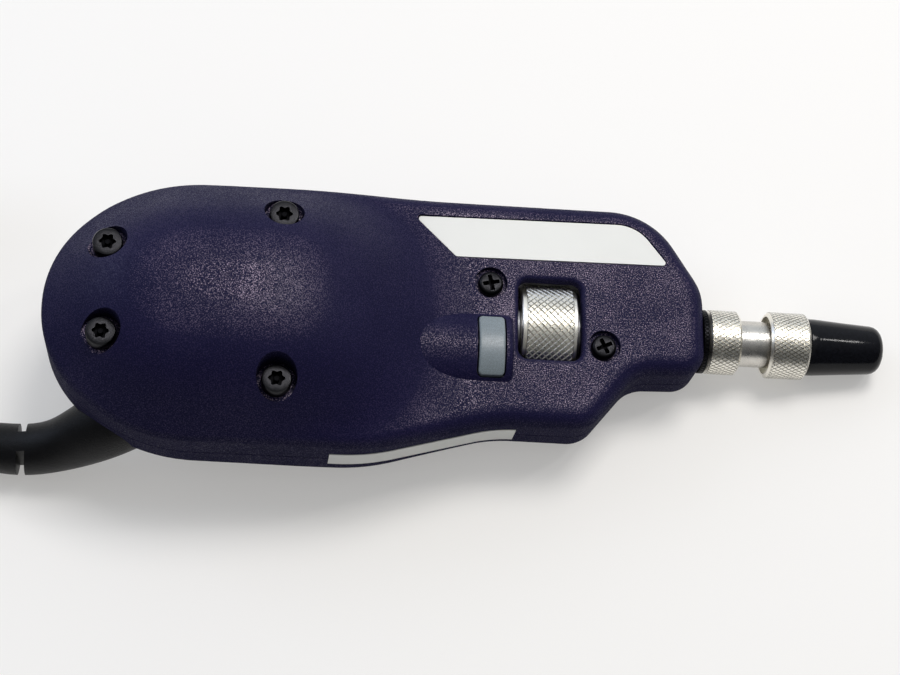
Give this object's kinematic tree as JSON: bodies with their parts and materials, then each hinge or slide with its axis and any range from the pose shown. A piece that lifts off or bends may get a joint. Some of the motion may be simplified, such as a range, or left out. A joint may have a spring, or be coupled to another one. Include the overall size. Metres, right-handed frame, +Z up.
{
  "type": "fiber inspection microscope",
  "caption": "Hand-held corded video microscope for fibre connector end faces: moulded grip with focus wheel, capture button and a screwed-on inspection tip under a dust cap.",
  "frame": {"origin": "on the table, under the middle of the box of the probe without its cord", "axes": "+X along the probe towards the tip, +Z up from the table; the optical axis dips 6.3 degrees below +X because the probe rests on its belly and its tip nut"},
  "size_m": [0.272, 0.074, 0.0433],
  "materials": {
    "shell_plastic": "fine spark texture, satin",
    "black_screw": "black oxide",
    "knurled_steel": "bright nickel, knurled",
    "tube_metal": "black anodised",
    "frame_metal": "cast, bead blasted",
    "spring_steel": "plain",
    "lens_glass": "coated",
    "board_green": "solder mask",
    "chip_black": "moulded",
    "switch_black": "moulded",
    "led_white": "clear resin",
    "button_grey": "satin",
    "label_white": "printed film",
    "collar_black": "black anodised",
    "tip_metal": "turned",
    "vinyl_black": "soft vinyl, glossy",
    "boot_rubber": "satin",
    "cord_jacket": "satin jacket",
    "tie_black": "woven",
    "plug_black": "moulded",
    "plug_metal": "nickel plated sheet",
    "tongue_white": "moulded",
    "contact_gold": "gold flash"
  },
  "bodies": {
    "probe": {"upper_shell": "shell_plastic", "lower_shell": "shell_plastic", "rear_screws": "black_screw", "front_screws": "black_screw", "guide_tube": "tube_metal", "wheel_retaining_rings": "spring_steel", "optics_frame": "frame_metal", "cube_mount": "frame_metal", "beamsplitter_cube": "lens_glass", "tube_lens": "lens_glass", "led_board": "board_green", "illumination_led": "led_white", "main_board": "board_green", "board_screws": "spring_steel", "board_components": "chip_black", "cord_connector": "tongue_white", "sensor_board": "board_green", "image_sensor": "chip_black", "button_switch": "switch_black", "switch_board": "board_green", "face_label": "label_white", "side_label": "label_white", "nose_collar": "collar_black", "tip_barrel": "tip_metal", "inspection_tip": "tip_metal", "strain_relief": "boot_rubber", "cord_run": "cord_jacket", "cord_coil": "cord_jacket", "coil_tie": "tie_black", "cord_tail": "cord_jacket", "plug_body": "plug_black", "plug_shell": "plug_metal", "plug_tongue": "tongue_white", "plug_contacts": "contact_gold"},
    "wheel": {"focus_wheel": "knurled_steel"},
    "carrier": {"objective_carrier": "tube_metal", "objective_lens": "lens_glass", "lens_retaining_ring": "tube_metal"},
    "button": {"capture_button": "button_grey", "switch_plunger": "switch_black"},
    "rear_nut": {"barrel_nut": "knurled_steel"},
    "front_nut": {"tip_nut": "knurled_steel"},
    "cap": {"dust_cap": "vinyl_black"}
  },
  "joints": [
    {"name": "focus_turn", "type": "hinge", "parent": "probe", "child": "wheel", "pos_m": [0.02277, 0.0021, 0.01206], "axis": [0.9939, 0, -0.1099], "range_deg": [-160, 160]},
    {"name": "focus_slide", "type": "slide", "parent": "probe", "child": "carrier", "axis": [0.9939, 0, -0.1099], "range_m": [-0.0012, 0.0012]},
    {"name": "button_press", "type": "slide", "parent": "probe", "child": "button", "axis": [-0.1099, 0, -0.9939], "range_m": [0, 0.0008], "stiffness_N_per_m": 2500},
    {"name": "barrel_nut_turn", "type": "hinge", "parent": "probe", "child": "rear_nut", "pos_m": [0.05726, 0.0021, 0.00825], "axis": [0.9939, 0, -0.1099], "range_deg": [0, 360]},
    {"name": "tip_nut_turn", "type": "hinge", "parent": "probe", "child": "front_nut", "pos_m": [0.06969, 0.0021, 0.00688], "axis": [0.9939, 0, -0.1099], "range_deg": [0, 360]},
    {"name": "cap_pull", "type": "slide", "parent": "probe", "child": "cap", "axis": [0.9939, 0, -0.1099], "range_m": [0, 0.018]}
  ],
  "couplings": [
    {"joint": "focus_slide", "follows": "focus_turn", "m_per_rad": 0.000429}
  ]
}
